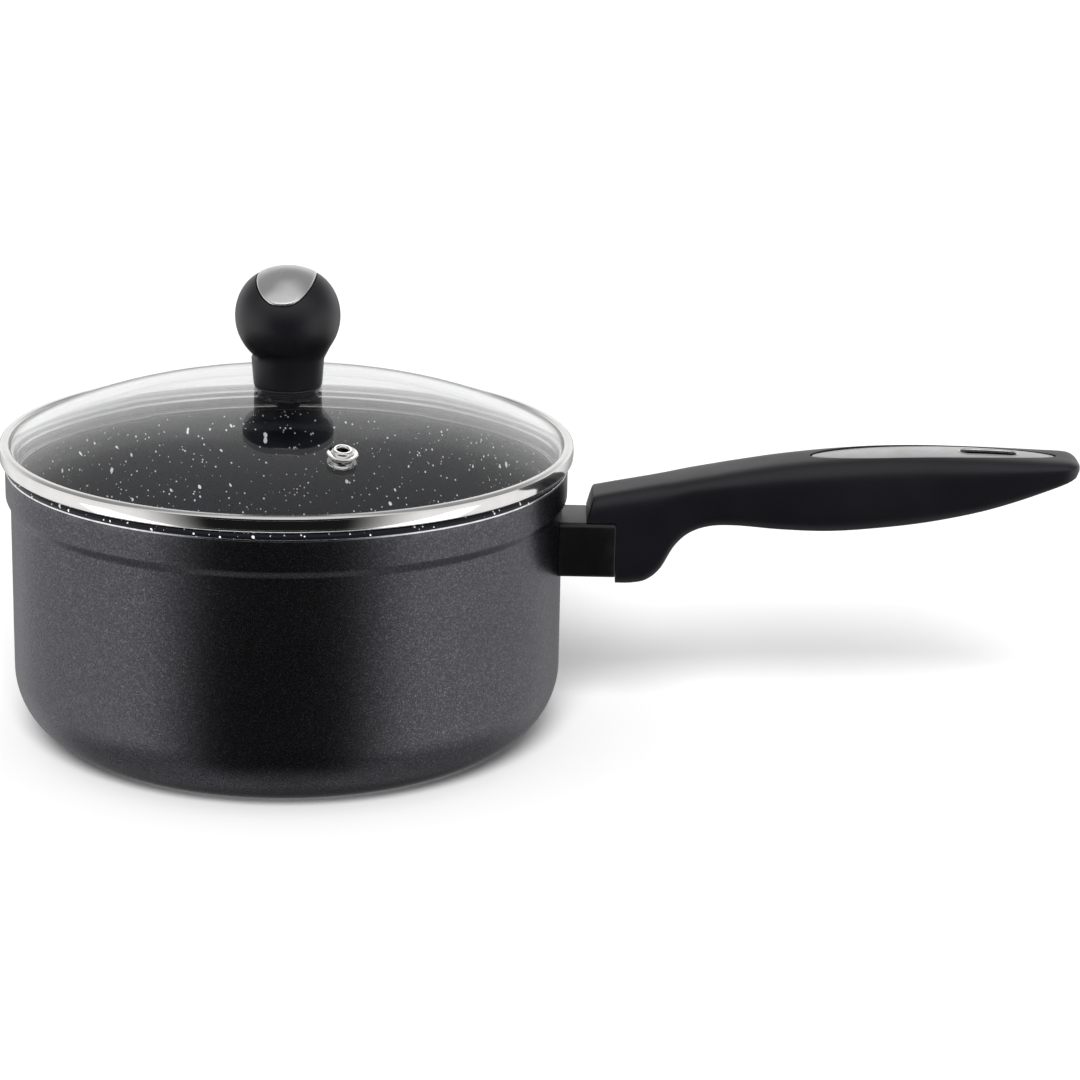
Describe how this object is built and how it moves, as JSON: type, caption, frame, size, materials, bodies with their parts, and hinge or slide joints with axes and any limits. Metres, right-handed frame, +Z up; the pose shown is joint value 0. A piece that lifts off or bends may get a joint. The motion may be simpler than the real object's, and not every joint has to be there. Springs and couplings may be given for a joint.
{
  "type": "saucepan",
  "caption": "Straight-sided saucepan with a long curved handle and a domed glass lid that has a steel rim, a ball knob and a steam vent.",
  "frame": {"origin": "centre of the pan's base, on the surface that it stands on", "axes": "+Z up along the pan's axis, +X from the pan's axis along the handle"},
  "size_m": [0.3578, 0.1902, 0.1581],
  "materials": {
    "bare_aluminium": "machined, bright",
    "stone_lining": "dark non-stick coat with white stone-effect flecks",
    "charcoal_enamel": "charcoal metallic enamel with a fine sparkle",
    "spun_steel": "turned, brushed in circles",
    "guard_black": "matt moulded black",
    "soft_black": "soft-touch black",
    "satin_silver": "satin silver with a bright bevelled edge",
    "zinc_steel": "plated steel",
    "mirror_steel": "mirror-polished stainless steel",
    "clear_silicone": "translucent grey silicone",
    "tempered_glass": "clear tempered glass",
    "insert_brass": "plain brass",
    "seal_rubber": "black silicone"
  },
  "bodies": {
    "pan": {"pan_body": "bare_aluminium", "pan_lining": "stone_lining", "outer_enamel": "charcoal_enamel", "base_disc": "spun_steel", "weld_stud": "bare_aluminium", "flame_guard": "guard_black", "handle_grip": "soft_black", "handle_inlay": "satin_silver", "handle_screw": "zinc_steel", "handle_washer": "zinc_steel"},
    "lid": {"lid_rim": "mirror_steel", "rim_sealant": "clear_silicone", "glass_dome": "tempered_glass", "vent_eyelet": "mirror_steel", "vent_seal": "clear_silicone", "knob_body": "soft_black", "knob_cap": "satin_silver", "knob_insert": "insert_brass", "knob_screw": "zinc_steel", "knob_washer": "zinc_steel", "knob_lower_seal": "seal_rubber", "knob_upper_seal": "seal_rubber"}
  },
  "joints": [
    {"name": "lid_lift", "type": "slide", "parent": "pan", "child": "lid", "axis": [0, 0, 1], "range_m": [0, 0.12]}
  ]
}
